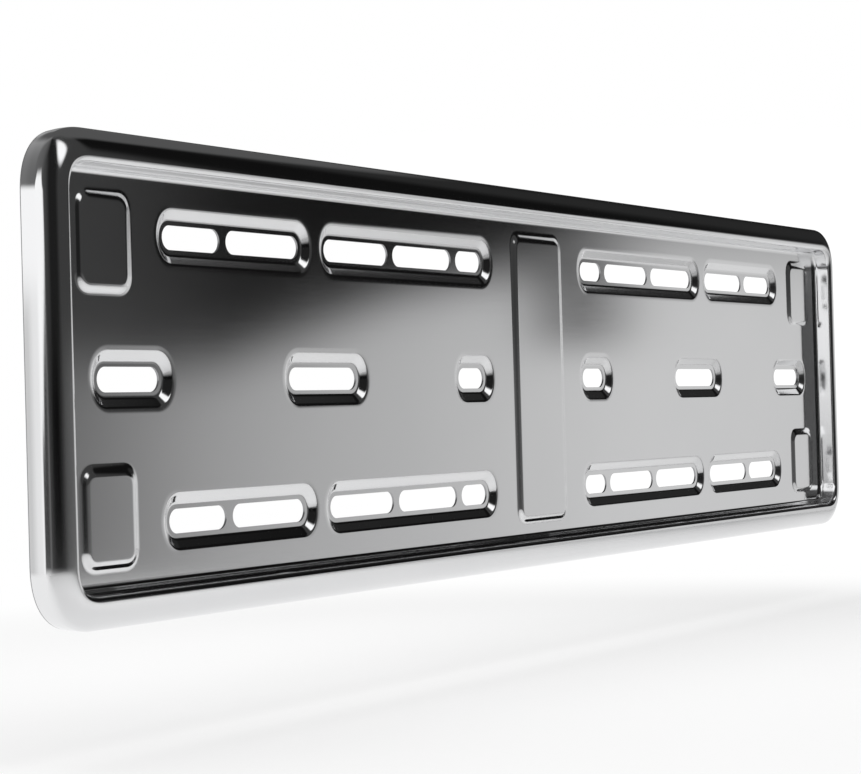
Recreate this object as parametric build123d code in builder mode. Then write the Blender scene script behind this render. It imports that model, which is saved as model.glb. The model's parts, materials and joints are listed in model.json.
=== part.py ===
"""Number plate holder: a shallow tray pressed in one piece from thin polished stainless sheet.

A rounded bead runs round the edge, a long number plate lies inside it, and slotted dishes in
the panel take the screws that hold the tray on a car. Millimetres. X runs along the plate, Z is
up and the front looks along -Y. The origin is the middle of the back, on the mounting plane.
"""
import os
from math import atan2, cos, degrees, radians, sin, tan

from build123d import *

# the plate that lies in the tray, and the panel's flat past it at the ends and along the sides
plate_length = 520.0
plate_height = 110.0
end_gap = 2.2
side_gap = 0.1

# the sheet that the tray is pressed from
sheet = 0.7

# bead that frames the plate: a steep inner wall, a crest close to it and a long crown that falls
# away outwards to a flat outer wall, whose free edge stands clear of the mounting plane
bead_width = 11.7
bead_height = 7.7
foot_radius = 1.5
wall_angle = 83.0
shoulder_radius = 1.9
crown_fall = 4.7
crown_turn = 40.0
edge_clear = 0.4
panel_corner = 4.7

# screw slots and the dishes that carry them
slot_width = 7.0
short_slot = 17.0
long_slot = 37.0
end_slot = 27.0
slot_bridge = 3.0
first_slot = 37.0
row_spacing = 80.0
middle_bolts = 272.0
end_slot_inset = 15.0
dish_depth = 1.7
floor_margin = 1.65
dish_run = 2.6
dish_land = 5.5

# raised rib across the middle and raised pads near the ends, which the plate's back lies on
seat_rise = 0.9
seat_run = 2.0
seat_corner = 6.0
seat_inset = 3.7
rib_width = 36.2
pad_width = 23.5
pad_height = 28.1
pad_end_inset = 7.3

# levels, counted forward from the mounting plane
panel_back = dish_depth
panel_front = panel_back + sheet

# the flat panel inside the bead, and what is raised on it
flat_length = plate_length + 2 * end_gap
flat_height = plate_height + 2 * side_gap
rib_height = flat_height - 2 * seat_inset
pad_x = (flat_length - pad_width) / 2 - pad_end_inset
pad_z = (flat_height - pad_height) / 2 - seat_inset

# the bead's inner side: two bends that turn by the wall's angle, with the straight wall between them
bends = foot_radius + shoulder_radius
wall_rise = bead_height - bends * (1 - cos(radians(wall_angle)))
wall_length = wall_rise / sin(radians(wall_angle))
crest_inset = bends * sin(radians(wall_angle)) + wall_length * cos(radians(wall_angle))

# the bead's crown: a wide bend over the crest runs on into a tight one at the outer wall
crown_reach = bead_width - crest_inset
turn_sin = sin(radians(crown_turn))
turn_cos = cos(radians(crown_turn))
crown_radius = (crown_reach * turn_cos - crown_fall * (1 - turn_sin)) / (turn_sin + turn_cos - 1)
brow_radius = (crown_fall * turn_sin - crown_reach * (1 - turn_cos)) / (turn_sin + turn_cos - 1)

# a dish reaches this far past its slots, at its floor and at the panel
dish_edge = floor_margin + dish_run


def row_dishes():
    """Slots of one half row, from the middle outwards, as dishes of (start, end) pairs."""
    dishes = []
    start = first_slot
    for lengths in ((short_slot, long_slot, long_slot), (long_slot, end_slot)):
        dish = []
        for length in lengths:
            clear_of_pad = start + length + dish_edge + dish_land <= pad_x - pad_width / 2
            if clear_of_pad:
                dish.append((start, start + length))
            start += length + slot_bridge
        start += 2 * dish_edge + dish_land - slot_bridge
        if dish:
            dishes.append(dish)
    return dishes


def middle_dishes():
    """The three single slots of the half row at mid height, each in a dish of its own."""
    end = plate_length / 2 - end_slot_inset
    return [
        [(first_slot, first_slot + short_slot)],
        [((middle_bolts - long_slot) / 2, (middle_bolts + long_slot) / 2)],
        [(end - end_slot, end)],
    ]


def both_halves():
    """Every dish of the tray as (height, slots), the right half mirrored on to the left."""
    rows = [(row_spacing / 2, row_dishes()), (0, middle_dishes()), (-row_spacing / 2, row_dishes())]
    found = []
    for height, dishes in rows:
        for dish in dishes:
            found.append((height, dish))
            found.append((height, [(-end, -start) for start, end in reversed(dish)]))
    return found


def oblong(start, end, height, margin):
    """One round-ended outline in the current sketch, from start to end and grown by the margin."""
    with Locations(((start + end) / 2, height)):
        SlotOverall(end - start + 2 * margin, slot_width + 2 * margin)


def seat(x, z, width, height, shift):
    """One round-cornered outline of a raised seat in the current sketch, shrunk all round by the shift."""
    with Locations((x, z)):
        RectangleRounded(width - 2 * shift, height - 2 * shift, seat_corner - shift)


def pressed_skin(drop):
    """Block whose front is one skin of the pressed panel: drop 0 is the front, one sheet is the back.

    Folds move sideways by the sheet's share of their angle, so the sheet keeps its thickness on slopes.
    """
    level = panel_front - drop
    dish_slope = atan2(dish_depth, dish_run)
    dish_margin = floor_margin + drop * tan(dish_slope / 2)
    seat_slope = atan2(seat_rise, seat_run)
    seat_shift = drop * tan(seat_slope / 2)

    with BuildPart() as block:
        # the back skin's block is deeper and wider, so that it takes everything behind the sheet
        depth = dish_depth + sheet + drop
        with BuildSketch(Plane.XZ.offset(level - depth)):
            RectangleRounded(flat_length + 2 * drop, flat_height + 2 * drop, panel_corner + drop)
        extrude(amount=depth)

        # dishes pressed back from the panel
        with BuildSketch(Plane.XZ.offset(level - dish_depth)):
            for height, dish in both_halves():
                oblong(dish[0][0], dish[-1][1], height, dish_margin)
        extrude(amount=dish_depth, taper=degrees(dish_slope) - 90, mode=Mode.SUBTRACT)

        # the rib and the pads pressed forward
        with BuildSketch(Plane.XZ.offset(level)):
            seat(0, 0, rib_width, rib_height, seat_shift)
            for side in (1, -1):
                seat(side * pad_x, pad_z, pad_width, pad_height, seat_shift)
                seat(side * pad_x, -pad_z, pad_width, pad_height, seat_shift)
        extrude(amount=seat_rise, taper=90 - degrees(seat_slope))
    return block.part


front_skin = pressed_skin(drop=0)
back_skin = pressed_skin(drop=sheet)

with BuildPart() as plate_holder:
    # the panel is the sheet between its two skins
    add(front_skin)
    add(back_skin, mode=Mode.SUBTRACT)

    # the bead's section, from its foot over the crest to the free edge, follows the panel's outline
    with BuildSketch(Plane.XZ, mode=Mode.PRIVATE) as panel:
        RectangleRounded(flat_length, flat_height, panel_corner)
    panel_edge = panel.sketch.wire()
    along = panel_edge % 0
    section_plane = Plane(panel_edge @ 0, x_dir=along.cross(Plane.XZ.z_dir), z_dir=-along)
    with BuildSketch(section_plane):
        with BuildLine():
            foot = JernArc((0, panel_front), (1, 0), foot_radius, wall_angle)
            wall = PolarLine(foot @ 1, wall_length, wall_angle)
            shoulder = JernArc(wall @ 1, wall % 1, shoulder_radius, -wall_angle)
            crown = JernArc(shoulder @ 1, shoulder % 1, crown_radius, -crown_turn)
            brow = JernArc(crown @ 1, crown % 1, brow_radius, crown_turn - 90)
            Line(brow @ 1, (bead_width, edge_clear))
            offset(amount=sheet, side=Side.LEFT)
        make_face()
    sweep(path=panel_edge)

    # screw slots sheared through the dish floors
    with BuildSketch(Plane.XZ):
        for height, dish in both_halves():
            for start, end in dish:
                oblong(start, end, height, 0)
    extrude(amount=panel_front, mode=Mode.SUBTRACT)

plate_holder.part.label = "plate_holder"
os.makedirs("parts", exist_ok=True)
export_step(plate_holder.part, "parts/plate_holder.step")
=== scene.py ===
import json
from math import cos, pi, radians, sin, tan

import bpy
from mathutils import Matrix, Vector


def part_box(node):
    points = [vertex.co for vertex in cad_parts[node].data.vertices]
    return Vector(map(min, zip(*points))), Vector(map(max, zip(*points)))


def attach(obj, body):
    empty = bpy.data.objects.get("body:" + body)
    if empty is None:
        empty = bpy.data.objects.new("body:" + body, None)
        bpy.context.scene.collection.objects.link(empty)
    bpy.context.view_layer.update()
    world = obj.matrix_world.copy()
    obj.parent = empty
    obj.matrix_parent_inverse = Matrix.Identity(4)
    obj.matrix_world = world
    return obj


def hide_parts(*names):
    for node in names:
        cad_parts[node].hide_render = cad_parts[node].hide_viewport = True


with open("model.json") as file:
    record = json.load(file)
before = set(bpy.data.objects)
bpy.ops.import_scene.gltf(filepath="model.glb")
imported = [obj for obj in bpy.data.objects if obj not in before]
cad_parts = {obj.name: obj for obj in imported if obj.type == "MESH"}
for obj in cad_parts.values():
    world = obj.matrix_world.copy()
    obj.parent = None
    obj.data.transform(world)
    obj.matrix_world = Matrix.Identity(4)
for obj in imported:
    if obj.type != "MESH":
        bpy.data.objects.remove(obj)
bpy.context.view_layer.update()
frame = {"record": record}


# The pressing plan. The tray is one thin stainless sheet, formed by the press round a plan of screw
# slots in three rows, the dishes that carry them, a rib across the middle and a pad in each corner.
# Slots that stand only a narrow bridge apart share one dish.
MM = 0.001
SLOT, DISH, SEAT, PANEL = range(4)
plan = []


def mark(kind, x, z, reach_x, reach_z):
    """One outline of the plan: its centre, and how far its round corners stand from that centre."""
    plan.append((kind, (x, z, 0.0), (reach_x, reach_z, 0.0)))


slots = []
for mount in frame["record"]["mounts"]:
    if mount["kind"] != "bolt_pattern":
        continue
    pattern = mount["dims"]
    slot_round = pattern["hole_r_mm"] * MM
    half_slot = pattern["slot_length_mm"] / 2 * MM
    half_row = pattern.get("spacing_y_mm", 0.0) / 2 * MM
    for z in sorted({half_row, -half_row}):
        slots.append((z, pattern["spacing_x_mm"] / 2 * MM, half_slot))
slots.sort()

widest_bridge = 3.5 * MM
dishes = []
for z, x, half_slot in slots:
    if dishes and dishes[-1][0] == z and x - half_slot - dishes[-1][2] < widest_bridge:
        dishes[-1][2] = x + half_slot
    else:
        dishes.append([z, x - half_slot, x + half_slot])

# the pads by their middles, and the pads and the rib by half their width and half their height
pad_x, pad_z = 243.15 * MM, 37.35 * MM
pad_half_width, pad_half_height = 11.75 * MM, 14.05 * MM
rib_half_width, rib_half_height = 18.1 * MM, 51.4 * MM
seat_corner = 6.0 * MM
rim_corner = 19.1 * MM
bead_width = 11.7 * MM
outer_low, outer_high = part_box("plate_holder")
for side in (1, -1):
    for z, x, half_slot in slots:
        mark(SLOT, side * x, z, half_slot - slot_round, 0.0)
    for z, start, end in dishes:
        mark(DISH, side * (start + end) / 2, z, (end - start) / 2 - slot_round, 0.0)
    for z in (pad_z, -pad_z):
        mark(SEAT, side * pad_x, z, pad_half_width - seat_corner, pad_half_height - seat_corner)
mark(SEAT, 0.0, 0.0, rib_half_width - seat_corner, rib_half_height - seat_corner)
mark(PANEL, 0.0, 0.0, outer_high[0] - rim_corner, outer_high[2] - rim_corner)

kinds = [kind for kind, centre, reach in plan]
centres = [centre for kind, centre, reach in plan]
reaches = [step for kind, centre, reach in plan for step in reach]
plan_mesh = bpy.data.meshes.new("pressing_plan")
plan_mesh.from_pydata(centres, [], [])
plan_mesh.attributes.new("kind", "INT", "POINT").data.foreach_set("value", kinds)
plan_mesh.attributes.new("reach", "FLOAT_VECTOR", "POINT").data.foreach_set("vector", reaches)
tray = bpy.data.objects.new("pressed_tray", plan_mesh)
bpy.context.scene.collection.objects.link(tray)


# The press form. Every pressing is a bent section that follows a round-cornered outline of the
# plan: the bead round the edge, the dish walls, and the slopes of the rib and pads. Flat sheet lies
# between them, and the slots are sheared through the dish floors.
class Feed:
    """A socket of a node tree. Sums and products of feeds add Math nodes to the tree."""

    def __init__(self, tree, socket=None):
        self.tree = tree
        self.socket = socket

    def node(self, kind, settings, sockets, out=0):
        """Adds one node: its settings first, then the values or links of its sockets."""
        made = self.tree.nodes.new(kind)
        for name, value in settings.items():
            if name == "stops":
                while len(made.color_ramp.elements) < len(value):
                    made.color_ramp.elements.new(1.0)
                for stop, (place, level) in zip(made.color_ramp.elements, value):
                    stop.position = place
                    stop.color = (level, level, level, 1.0)
            elif name == "items":
                while len(made.index_switch_items) < value:
                    made.index_switch_items.new()
            else:
                setattr(made, name, value)
        for name, value in sockets.items():
            for single in value if isinstance(value, list) else [value]:
                if isinstance(single, Feed):
                    self.tree.links.new(single.socket, made.inputs[name])
                else:
                    made.inputs[name].default_value = single
        return Feed(self.tree, made.outputs[out] if made.outputs else None)

    def math(self, operation, first, second=0.0):
        return self.node("ShaderNodeMath", {"operation": operation}, {0: first, 1: second})

    def __add__(self, other):
        return self.math("ADD", self, other)

    def __radd__(self, other):
        return self.math("ADD", other, self)

    def __sub__(self, other):
        return self.math("SUBTRACT", self, other)

    def __rsub__(self, other):
        return self.math("SUBTRACT", other, self)

    def __mul__(self, other):
        return self.math("MULTIPLY", self, other)

    def __rmul__(self, other):
        return self.math("MULTIPLY", other, self)


# levels and folds, in millimetres forward of the mounting plane and outwards from each outline
crest_level = -outer_low[1] / MM
panel_level = 2.4
wall_lean = radians(83.0)
foot_bend = 1.5
shoulder_bend = 1.9
crown_fall = 4.7
crown_turn = radians(40.0)
foot_out = foot_bend * tan(wall_lean / 2)
shoulder_out = foot_out + (crest_level - panel_level) / tan(wall_lean)
crest_out = shoulder_out + shoulder_bend * tan(wall_lean / 2)
crown_reach = bead_width / MM - crest_out
turn_share = sin(crown_turn) + cos(crown_turn) - 1
crown_bend = (crown_reach * cos(crown_turn) - crown_fall * (1 - sin(crown_turn))) / turn_share
brow_bend = (crown_fall * sin(crown_turn) - crown_reach * (1 - cos(crown_turn))) / turn_share
crown_out = crest_out + crown_bend * tan(crown_turn / 2)

press_sizes = {
    "Rim Corner": rim_corner / MM,
    "Panel Level": panel_level,
    "Foot Out": foot_out,
    "Foot Bend": foot_bend,
    "Shoulder Out": shoulder_out,
    "Shoulder Bend": shoulder_bend,
    "Crest Level": crest_level,
    "Crown Out": crown_out,
    "Crown Bend": crown_bend,
    "Brow Level": crest_level - (bead_width / MM - crown_out) * tan(crown_turn),
    "Brow Bend": brow_bend,
    "Wall Level": 2.9,
    "Wall Bend": 20.0,
    "Wall Lean": 0.25,
    "Bead Out": bead_width / MM,
    "Bead Land": 0.5,
    "Edge Level": 0.4,
    "Slot Round": slot_round / MM,
    "Floor Level": 0.7,
    "Floor Margin": 1.65,
    "Floor Bend": 1.6,
    "Floor Land": 0.9,
    "Dish Run": 2.65,
    "Dish Bend": 1.8,
    "Dish Draw": 1.15,
    "Draw Dip": 0.048,
    "Draw Bend": 30.0,
    "Dish Land": 1.85,
    "Seat Level": 3.3,
    "Seat Corner": seat_corner / MM,
    "Seat Run": 2.0,
    "Seat Bend": 3.6,
    "Seat Land": 1.2,
    "Seat Lean": 0.3,
}

form = bpy.data.node_groups.new("press_form", "GeometryNodeTree")
form.interface.new_socket("Plan", in_out="INPUT", socket_type="NodeSocketGeometry")
form.interface.new_socket("Tray", in_out="OUTPUT", socket_type="NodeSocketGeometry")
for name in press_sizes:
    form.interface.new_socket(name, in_out="INPUT", socket_type="NodeSocketFloat")
form_inputs = form.nodes.new("NodeGroupInput")
form_output = form.nodes.new("NodeGroupOutput")
press = Feed(form)
plan_points = Feed(form, form_inputs.outputs["Plan"])
size = {name: Feed(form, form_inputs.outputs[name]) for name in press_sizes}


def attribute(name, kind):
    """What the plan or an outline holds under a name."""
    return press.node(
        "GeometryNodeInputNamedAttribute",
        {"data_type": kind},
        {"Name": name},
        out="Attribute",
    )


def vector(operation, first, second=(0.0, 0.0, 0.0), scale=1.0):
    """One step of vector maths; its scale is the fourth socket."""
    sockets = {0: first, 1: second, 3: scale}
    return press.node("ShaderNodeVectorMath", {"operation": operation}, sockets)


def outlines(kind, corner, points, ease=(1.0, 1.0, 1.0)):
    """Outlines of one kind: a circle at each plan point, its quarters drawn apart by the reach.

    An ease below 1 lets the straight sides run into the round corners with no sudden turn.
    """
    ring = press.node(
        "GeometryNodeCurvePrimitiveCircle",
        {},
        {"Resolution": points, "Radius": 1.0},
    )
    half_step = (0.0, 0.0, pi / points)
    ring = press.node("GeometryNodeTransform", {}, {"Geometry": ring, "Rotation": half_step})
    place = press.node("GeometryNodeInputPosition", {}, {})
    spread = vector("POWER", vector("ABSOLUTE", place), ease)
    eased = vector("MULTIPLY", vector("SIGN", place), spread)
    ring = press.node(
        "GeometryNodeSetPosition",
        {},
        {"Geometry": ring, "Position": vector("SCALE", eased, scale=corner)},
    )
    ring = press.node(
        "GeometryNodeStoreNamedAttribute",
        {"data_type": "FLOAT_VECTOR", "domain": "POINT"},
        {"Geometry": ring, "Name": "quarter", "Value": place},
    )
    chosen = press.node(
        "FunctionNodeCompare",
        {"data_type": "INT", "operation": "EQUAL"},
        {2: attribute("kind", "INT"), 3: kind},
    )
    spots = press.node(
        "GeometryNodeSeparateGeometry",
        {"domain": "POINT"},
        {"Geometry": plan_points, "Selection": chosen},
    )
    rings = press.node("GeometryNodeInstanceOnPoints", {}, {"Points": spots, "Instance": ring})
    rings = press.node("GeometryNodeRealizeInstances", {}, {"Geometry": rings})
    quarter = vector("SIGN", attribute("quarter", "FLOAT_VECTOR"))
    apart = vector("MULTIPLY", quarter, attribute("reach", "FLOAT_VECTOR"))
    return press.node("GeometryNodeSetPosition", {}, {"Geometry": rings, "Offset": apart})


def grown(outline, distance):
    """The same outlines, moved outwards by the distance."""
    heading = press.node("GeometryNodeInputTangent", {}, {})
    outward = vector("CROSS_PRODUCT", heading, (0.0, 0.0, 1.0))
    step = vector("SCALE", outward, scale=distance)
    return press.node("GeometryNodeSetPosition", {}, {"Geometry": outline, "Offset": step})


def pressed(outline, corners, bend_points):
    """Sheet along an outline: its section runs outwards through corners of (out, forward, bend)."""
    index = press.node("GeometryNodeInputIndex", {}, {})
    places = {"Index": index}
    bends = {"Index": index}
    count = len(corners)
    for number, (out, forward, bend) in enumerate(corners, 1):
        places[number] = press.node("ShaderNodeCombineXYZ", {}, {"X": out, "Y": 0.0 - forward})
        bends[number] = bend
    place = press.node("GeometryNodeIndexSwitch", {"data_type": "VECTOR", "items": count}, places)
    bend = press.node("GeometryNodeIndexSwitch", {"data_type": "FLOAT", "items": count}, bends)
    line = press.node("GeometryNodeMeshLine", {}, {"Count": count})
    line = press.node("GeometryNodeSetPosition", {}, {"Geometry": line, "Position": place})
    line = press.node("GeometryNodeMeshToCurve", {}, {"Mesh": line})
    line = press.node(
        "GeometryNodeFilletCurve",
        {"mode": "POLY"},
        {"Curve": line, "Count": bend_points, "Radius": bend},
    )
    path = press.node("GeometryNodeSetCurveNormal", {"mode": "Z_UP"}, {"Curve": outline})
    return press.node("GeometryNodeCurveToMesh", {}, {"Curve": path, "Profile Curve": line})


def flat(edges, level):
    """Flat sheet between closed outlines, laid at its level."""
    sheet = press.node("GeometryNodeFillCurve", {"mode": "TRIANGLES"}, {"Curve": edges})
    lift = press.node("ShaderNodeCombineXYZ", {}, {"Z": level})
    return press.node("GeometryNodeTransform", {}, {"Geometry": sheet, "Translation": lift})


def joined(*pieces):
    """Pieces of sheet or outlines, taken together."""
    return press.node("GeometryNodeJoinGeometry", {}, {"Geometry": list(pieces)})


corner_ease = (0.83, 0.83, 1.0)
round_end_ease = (0.8, 1.0, 1.0)

rim = outlines(PANEL, size["Rim Corner"], points=128, ease=corner_ease)
bead = pressed(
    rim,
    [
        (0.0 - size["Bead Out"] - size["Bead Land"], size["Panel Level"], 0.0),
        (size["Foot Out"] - size["Bead Out"], size["Panel Level"], size["Foot Bend"]),
        (size["Shoulder Out"] - size["Bead Out"], size["Crest Level"], size["Shoulder Bend"]),
        (size["Crown Out"] - size["Bead Out"], size["Crest Level"], size["Crown Bend"]),
        (0.0, size["Brow Level"], size["Brow Bend"]),
        (0.0, size["Wall Level"], size["Wall Bend"]),
        (0.0 - size["Wall Lean"], size["Edge Level"], 0.0),
    ],
    bend_points=14,
)
dish_corner = size["Slot Round"] + size["Floor Margin"]
dish = outlines(DISH, dish_corner, points=64, ease=round_end_ease)
dish_walls = pressed(
    dish,
    [
        (0.0 - size["Floor Land"], size["Floor Level"], 0.0),
        (0.0, size["Floor Level"], size["Floor Bend"]),
        (size["Dish Run"], size["Panel Level"] - size["Draw Dip"], size["Dish Bend"]),
        (size["Dish Run"] + size["Dish Draw"], size["Panel Level"], size["Draw Bend"]),
        (size["Dish Run"] + size["Dish Land"], size["Panel Level"], 0.0),
    ],
    bend_points=6,
)
seat = outlines(SEAT, size["Seat Corner"], points=64, ease=corner_ease)
seat_slopes = pressed(
    seat,
    [
        (0.0 - size["Seat Run"] - size["Seat Land"], size["Seat Level"], 0.0),
        (0.0 - size["Seat Run"], size["Seat Level"], size["Seat Bend"]),
        (0.0, size["Panel Level"], size["Seat Bend"]),
        (size["Seat Land"], size["Panel Level"], 0.0),
    ],
    bend_points=8,
)
panel = flat(
    joined(
        grown(rim, 0.0 - size["Bead Out"] - size["Bead Land"]),
        grown(dish, size["Dish Run"] + size["Dish Land"]),
        grown(seat, size["Seat Land"]),
    ),
    size["Panel Level"],
)
slot_edges = outlines(SLOT, size["Slot Round"], points=48)
floors = flat(
    joined(grown(dish, 0.0 - size["Floor Land"]), slot_edges),
    size["Floor Level"],
)
seats = joined(
    seat_slopes,
    flat(grown(seat, 0.0 - size["Seat Run"] - size["Seat Land"]), size["Seat Level"]),
)

# the press leaves the raised seats a touch low, with a steeper slope below than above
seat_place = press.node("GeometryNodeInputPosition", {}, {})
forward = press.node("ShaderNodeSeparateXYZ", {}, {"Vector": seat_place}, out="Z")
seat_rise = size["Seat Level"] - size["Panel Level"]
share = press.math("DIVIDE", forward - size["Panel Level"], seat_rise)
lean = press.node("ShaderNodeCombineXYZ", {}, {"Y": 0.0 - share * size["Seat Lean"]})
seats = press.node("GeometryNodeSetPosition", {}, {"Geometry": seats, "Offset": lean})

# neighbouring sheets are welded where they meet, and the flat plan is stood upright
weld = 0.004 * MM
upright = (pi / 2, 0.0, 0.0)
skin = joined(bead, dish_walls, panel, floors, seats)
skin = press.node("GeometryNodeMergeByDistance", {}, {"Geometry": skin, "Distance": weld})
skin = press.node("GeometryNodeTransform", {}, {"Geometry": skin, "Rotation": upright})
skin = press.node("GeometryNodeSetShadeSmooth", {}, {"Geometry": skin, "Shade Smooth": True})
skin = press.node("GeometryNodeRealizeInstances", {}, {"Geometry": skin})


# The polished steel. The sheet is stainless, buffed to a mirror after pressing, with the faint
# cloud and fine strokes that buffing leaves, a slight ripple where the press has drawn the sheet,
# and duller grey edges where it was sheared.
steel = bpy.data.materials.new("polished_steel")
steel.use_nodes = True
steel.node_tree.nodes.clear()
finish = Feed(steel.node_tree)
buffed_deep = (0.77, 0.775, 0.785, 1.0)
buffed_pale = (0.83, 0.83, 0.835, 1.0)
sheared = (0.36, 0.36, 0.37, 1.0)
buffing_strokes = (40.0, 900.0, 900.0)


def noise(place, scale, detail):
    """Soft random marks on the steel, from 0 to 1."""
    sockets = {"Vector": place, "Scale": scale, "Detail": detail}
    return finish.node("ShaderNodeTexNoise", {}, sockets, out="Fac")


def tinted(share, first, second):
    """A colour of the steel between two others."""
    sockets = {0: share, 6: first, 7: second}
    return finish.node("ShaderNodeMix", {"data_type": "RGBA"}, sockets, out=2)


where = finish.node("ShaderNodeTexCoord", {}, {}, out="Object")
stretch = finish.node("ShaderNodeMapping", {}, {"Vector": where, "Scale": buffing_strokes})
cloud = noise(where, scale=18.0, detail=4.0)
buffing = noise(stretch, scale=1.0, detail=3.0)
ripple = noise(where, scale=9.0, detail=1.0)

# a cut edge looks sideways, and lies no further forward than the front of a dish floor
sideways_below = 0.3
floor_front = -0.72 * MM
facing = finish.node("ShaderNodeTexCoord", {}, {}, out="Normal")
facing_y = finish.node("ShaderNodeSeparateXYZ", {}, {"Vector": facing}, out="Y")
where_y = finish.node("ShaderNodeSeparateXYZ", {}, {"Vector": where}, out="Y")
sideways = finish.math("LESS_THAN", finish.math("ABSOLUTE", facing_y), sideways_below)
cut_edge = sideways * finish.math("GREATER_THAN", where_y, floor_front)

tint = tinted(cut_edge, tinted(cloud, buffed_deep, buffed_pale), sheared)
gloss = 0.065 + cloud * 0.025 + buffing * 0.015 + cut_edge * 0.3
dent = finish.node("ShaderNodeBump", {}, {"Strength": 0.03, "Distance": 0.002, "Height": ripple})
surface = finish.node(
    "ShaderNodeBsdfPrincipled",
    {},
    {"Base Color": tint, "Metallic": 1.0, "Roughness": gloss, "Normal": dent},
)
finish.node("ShaderNodeOutputMaterial", {}, {"Surface": surface})


# The finished tray. The formed skin gets the sheet's thickness towards the back, with cut edges at
# the slots and at the bead's free edge, and becomes one plain steel piece in place of the solid.
sheet_gauge = 0.7 * MM
sharp_fold = radians(40.0)
skin = press.node("GeometryNodeSetMaterial", {}, {"Geometry": skin, "Material": steel})
form.links.new(skin.socket, form_output.inputs["Tray"])
pressing = tray.modifiers.new("pressing", "NODES")
pressing.node_group = form
for item in form.interface.items_tree:
    if item.in_out == "INPUT" and item.name in press_sizes:
        pressing[item.identifier] = press_sizes[item.name] * MM
gauge = tray.modifiers.new("gauge", "SOLIDIFY")
gauge.thickness = sheet_gauge
gauge.offset = -1.0
gauge.use_even_offset = True
formed = tray.evaluated_get(bpy.context.evaluated_depsgraph_get())
tray_mesh = bpy.data.meshes.new_from_object(formed)
tray.modifiers.clear()
tray.data = tray_mesh
tray_mesh.name = "pressed_tray"
tray_mesh.set_sharp_from_angle(angle=sharp_fold)
for name in ("kind", "reach", "quarter"):
    if name in tray_mesh.attributes:
        tray_mesh.attributes.remove(tray_mesh.attributes[name])
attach(tray, "root")
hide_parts("plate_holder")


# The studio. A pale round table stands just below the tray, under a soft lamp and a dim ceiling
# panel. Round them lie a white surround, a dark room above it and in front, and the glow of an oval
# lamp in front. The camera sees the table and the surround as plain white.
WHITE = (1.0, 1.0, 1.0, 1.0)
disc_steps = 96
ceiling_radius, ceiling_inside, ceiling_light = 0.66, 0.48, 0.1
table_radius, table_inside = 0.6, 0.45
table_paint = (0.88, 0.88, 0.88, 1.0)


def disc(name, place, radius, camera_sees=True):
    """A flat round piece of the studio, and the feed of its material."""
    angles = [step * 2 * pi / disc_steps for step in range(disc_steps)]
    points = [(radius * cos(angle), radius * sin(angle), 0.0) for angle in angles]
    mesh = bpy.data.meshes.new(name)
    mesh.from_pydata(points, [], [tuple(range(disc_steps))])
    made = bpy.data.objects.new(name, mesh)
    made.location = place
    made.visible_camera = camera_sees
    bpy.context.scene.collection.objects.link(made)
    material = bpy.data.materials.new(name)
    material.use_nodes = True
    material.node_tree.nodes.clear()
    mesh.materials.append(material)
    return Feed(material.node_tree)


def between(feed, value, low, high):
    """0 at low, 1 at high and smooth between them."""
    limits = {"Value": value, "From Min": low, "From Max": high}
    return feed.node("ShaderNodeMapRange", {"interpolation_type": "SMOOTHSTEP"}, limits)


def from_middle(feed):
    """How far a place on a disc is from the disc's middle."""
    place = feed.node("ShaderNodeTexCoord", {}, {}, out="Object")
    return feed.node("ShaderNodeVectorMath", {"operation": "LENGTH"}, {0: place}, out="Value")


def faded(feed, shown, rim_at, inside_at):
    """Finishes a disc's material: what it shows fades into open air towards its rim."""
    open_air = feed.node("ShaderNodeBsdfTransparent", {}, {})
    share = between(feed, from_middle(feed), rim_at, inside_at)
    ending = feed.node("ShaderNodeMixShader", {}, {0: share, 1: open_air, 2: shown})
    feed.node("ShaderNodeOutputMaterial", {}, {"Surface": ending})


dim = disc("ceiling_panel", (0.3, 0.15, 0.66), ceiling_radius, camera_sees=False)
lining = dim.node("ShaderNodeEmission", {}, {"Color": WHITE, "Strength": ceiling_light})
faded(dim, lining, ceiling_radius, ceiling_inside)

# the table shows its shade in the middle; the tray mirrors it as white only where it lies behind
shade_shown, shade_from, shade_to = 0.4, 0.2, 0.4
mirrored_from, mirrored_to = -0.14, 0.05
top = disc("table", (0.0, 0.0, -0.1), table_radius)
on_table = top.node("ShaderNodeTexCoord", {}, {}, out="Object")
behind = top.node("ShaderNodeSeparateXYZ", {}, {"Vector": on_table}, out="Y")
camera_ray = top.node("ShaderNodeLightPath", {}, {}, out="Is Camera Ray")
glossy_ray = top.node("ShaderNodeLightPath", {}, {}, out="Is Glossy Ray")
shade_fade = between(top, from_middle(top), shade_from, shade_to)
to_camera = 1.0 - shade_shown + shade_shown * shade_fade
to_tray = between(top, behind, mirrored_from, mirrored_to)
matt = top.node("ShaderNodeBsdfDiffuse", {}, {"Color": table_paint})
white = top.node("ShaderNodeEmission", {}, {"Color": WHITE, "Strength": 1.0})
glow = camera_ray * to_camera + glossy_ray * to_tray
shown = top.node("ShaderNodeMixShader", {}, {0: glow, 1: matt, 2: white})
faded(top, shown, table_radius, table_inside)

# the lamp above looks at the tray and doesn't show in it
lamp_place = Vector((-0.1, 0.0, 0.55))
light = bpy.data.lights.new("lamp_above", "AREA")
light.shape = "ELLIPSE"
light.size = 0.9
light.size_y = 0.4
light.energy = 4.8
lamp = bpy.data.objects.new("lamp_above", light)
bpy.context.scene.collection.objects.link(lamp)
lamp.location = lamp_place
lamp.rotation_euler = lamp_place.to_track_quat("Z", "Y").to_euler()
lamp.visible_glossy = False

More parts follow.
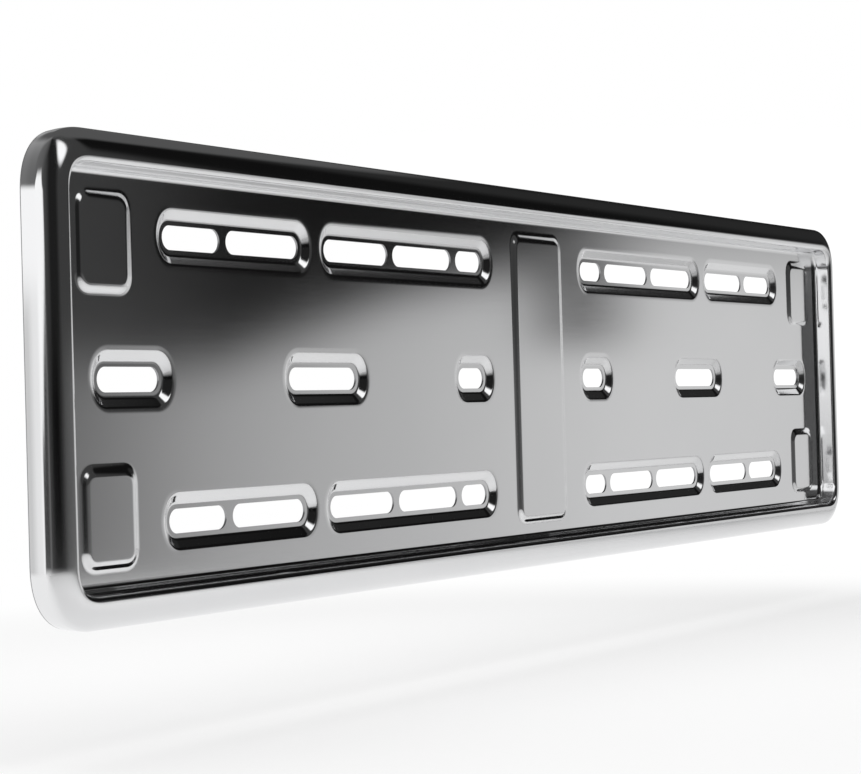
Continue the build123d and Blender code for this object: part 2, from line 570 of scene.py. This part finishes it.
room = bpy.data.worlds.new("studio")
room.use_nodes = True
room.node_tree.nodes.clear()
bpy.context.scene.world = room
air = Feed(room.node_tree)
aim = air.node("ShaderNodeTexCoord", {}, {}, out="Generated")
right = air.node("ShaderNodeSeparateXYZ", {}, {"Vector": aim}, out="X")
back = air.node("ShaderNodeSeparateXYZ", {}, {"Vector": aim}, out="Y")
up = air.node("ShaderNodeSeparateXYZ", {}, {"Vector": aim}, out="Z")
turn = air.math("ARCTAN2", right, 0.0 - back) * (180 / pi)


def around(stops):
    """A level for each direction round the tray, in degrees from the front towards the right."""
    places = [(0.5 + angle / 360.0, amount) for angle, amount in stops]
    heading = turn * (1 / 360) + 0.5
    return air.node("ShaderNodeValToRGB", {"stops": places}, {"Fac": heading}, out="Color")


def near(value, middle, none_at, full_at):
    """1 close to the middle and 0 away from it."""
    return between(air, air.math("ABSOLUTE", value - middle), none_at, full_at)


# the surround: dark in front, pale to the right and behind
surround = around([
    (-180, 0.7), (-150, 0.05), (-60, 0.05), (-42, 0.15), (-30, 0.05), (-18, 0.006),
    (-5, 0.003), (5, 0.025), (20, 0.09), (49, 0.14), (54, 0.43), (64, 0.70),
    (75, 0.62), (85, 0.78), (95, 1.15), (180, 0.7),
])

# a white card to the left, whose front edge leans and is soft
card_white = 1.15
edge_foot, edge_lower, edge_upper, edge_blur = -104.0, 24.0, 46.0, 8.0
card = around([(-180, 0.7), (-145, 0.65), (-128, 1.0), (-100, card_white), (180, card_white)])
card = air.math("MAXIMUM", card, between(air, up, 0.02, 0.08) * card_white)
lower_lean = between(air, up, -0.02, 0.0) * edge_lower
upper_lean = between(air, up, 0.0, 0.1) * edge_upper
card_edge = lower_lean + upper_lean + edge_foot
card = card * between(air, turn - card_edge, edge_blur, -edge_blur)

# the pale ground past the table, and a small dark spot in the surround on the right
ground = around([
    (-180, 0.9), (-60, 0.8), (-15, 0.4), (20, 0.45), (50, 0.6), (90, 0.9), (180, 0.9),
])
ground = ground * between(air, up, -0.062, -0.2)
lit = air.math("MAXIMUM", air.math("MAXIMUM", surround, card), ground)
spot_turn, spot_up, spot_dark = 62.3, 0.048, 0.85
spot = near(turn, spot_turn, 1.8, 0.3) * near(up, spot_up, 0.032, 0.01)
lit = lit * (1.0 - spot * spot_dark)

# the surround ends at a height that changes round the tray, softly, and the room above is dark
roof = around([
    (-180, 0.17), (-120, 0.17), (-100, 0.42), (-58, 0.42), (-45, 0.17), (-20, 0.03),
    (48, 0.03), (53, 0.019), (58, 0.051), (62, 0.062), (64.5, 0.08), (85, 0.085),
    (95, 0.14), (125, 0.18), (180, 0.17),
])
fade = around([
    (-180, 0.04), (-115, 0.04), (-100, 0.12), (-58, 0.12), (-40, 0.04), (60, 0.014),
    (68, 0.05), (90, 0.075), (125, 0.06), (180, 0.04),
])
ceiling = around([
    (-180, 0.3), (-130, 0.15), (-60, 0.12), (-25, 0.06), (-15, 0.015), (5, 0.015),
    (15, 0.05), (51, 0.05), (54, 0.006), (66, 0.006), (73, 0.024), (85, 0.024),
    (97, 0.01), (122, 0.06), (140, 0.4), (180, 0.3),
])
over = between(air, up - roof, 0.0 - fade, fade)
level = lit * (1.0 - over) + ceiling * over

# the oval lamp in front, high up
oval_turn, oval_up, oval_half_turn, oval_half_up, oval_bright = 20.0, 0.57, 11.0, 0.25, 1.2
oval_side = (turn - oval_turn) * (1 / oval_half_turn)
oval_rise = (up - oval_up) * (1 / oval_half_up)
oval = between(air, oval_side * oval_side + oval_rise * oval_rise, 1.7, 0.4)
level = air.math("MAXIMUM", level, oval * oval_bright)

camera_sees = air.node("ShaderNodeLightPath", {}, {}, out="Is Camera Ray")
level = air.math("MAXIMUM", level, camera_sees)
backdrop = air.node("ShaderNodeBackground", {}, {"Color": level, "Strength": 1.0})
air.node("ShaderNodeOutputWorld", {}, {"Surface": backdrop})


# The view. A long lens a little below the middle of the tray, to its left and in front of it,
# so that the tray runs away towards the right.
lens = bpy.data.cameras.new("view")
lens.sensor_width = 36.0
lens.lens = 96.65
lens.clip_start = 0.01
camera = bpy.data.objects.new("view", lens)
bpy.context.scene.collection.objects.link(camera)
camera.location = (-0.7302, -0.4022, -0.0115)
camera.rotation_euler = (radians(90.643), radians(1.594), radians(-58.584))
bpy.context.scene.camera = camera
bpy.context.scene.view_settings.view_transform = "Standard"
